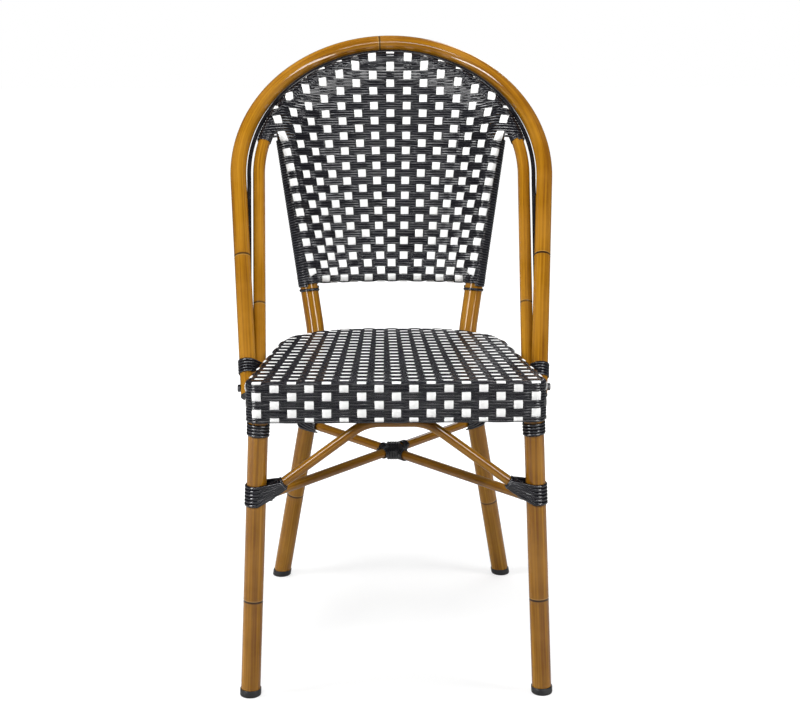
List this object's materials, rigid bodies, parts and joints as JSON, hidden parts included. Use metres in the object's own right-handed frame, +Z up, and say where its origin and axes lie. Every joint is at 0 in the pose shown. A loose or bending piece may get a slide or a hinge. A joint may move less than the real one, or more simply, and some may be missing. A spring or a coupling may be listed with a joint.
{
  "type": "rattan bistro chair",
  "caption": "Tubular bistro chair with a faux bamboo frame, an arched back that leans, a woven checked seat and back, braces between the legs and bound joints.",
  "frame": {"origin": "centre of the bounding box on the floor plane that the feet stand on", "axes": "+X to the right of a person facing the chair, +Y from the front of the seat to its back, +Z up"},
  "size_m": [0.495, 0.5732, 0.8899],
  "materials": {
    "bamboo_paint": "gloss, painted like bamboo",
    "checked_weave": "satin, black and white flat strands",
    "black_strand": "satin",
    "black_plastic": "satin",
    "bare_aluminium": "satin",
    "dark_steel": "satin"
  },
  "bodies": {
    "root": {"front_leg_right": "bamboo_paint", "front_leg_left": "bamboo_paint", "rear_leg_right": "bamboo_paint", "rear_leg_left": "bamboo_paint", "front_foot_cap_right": "black_plastic", "front_foot_cap_left": "black_plastic", "rear_foot_cap_right": "black_plastic", "rear_foot_cap_left": "black_plastic", "outer_arch": "bamboo_paint", "inner_arch": "bamboo_paint", "arch_cane": "black_plastic", "outer_arch_plug_right": "black_plastic", "outer_arch_plug_left": "black_plastic", "inner_arch_plug_right": "black_plastic", "inner_arch_plug_left": "black_plastic", "arch_bolt_right": "dark_steel", "arch_bolt_left": "dark_steel", "arch_spacer_right": "black_plastic", "arch_spacer_left": "black_plastic", "seat_hoop": "bare_aluminium", "seat_front_rail": "bare_aluminium", "seat_cross_bar_1": "bare_aluminium", "seat_cross_bar_2": "bare_aluminium", "seat_weave": "checked_weave", "back_bottom_rail": "bare_aluminium", "back_weave": "checked_weave", "front_brace": "bamboo_paint", "cross_brace_long": "bamboo_paint", "cross_brace_front_half": "bamboo_paint", "cross_brace_rear_half": "bamboo_paint", "arch_winding_right": "black_strand", "arch_winding_left": "black_strand", "front_leg_top_winding_right": "black_strand", "front_leg_top_winding_left": "black_strand", "front_leg_brace_winding_right": "black_strand", "front_leg_brace_winding_left": "black_strand", "front_brace_winding_right": "black_strand", "front_brace_winding_left": "black_strand", "back_corner_winding_right": "black_strand", "back_corner_winding_left": "black_strand", "rear_leg_winding_right": "black_strand", "rear_leg_winding_left": "black_strand", "crossing_winding_upper": "black_strand", "crossing_winding_lower": "black_strand"}
  },
  "joints": []
}
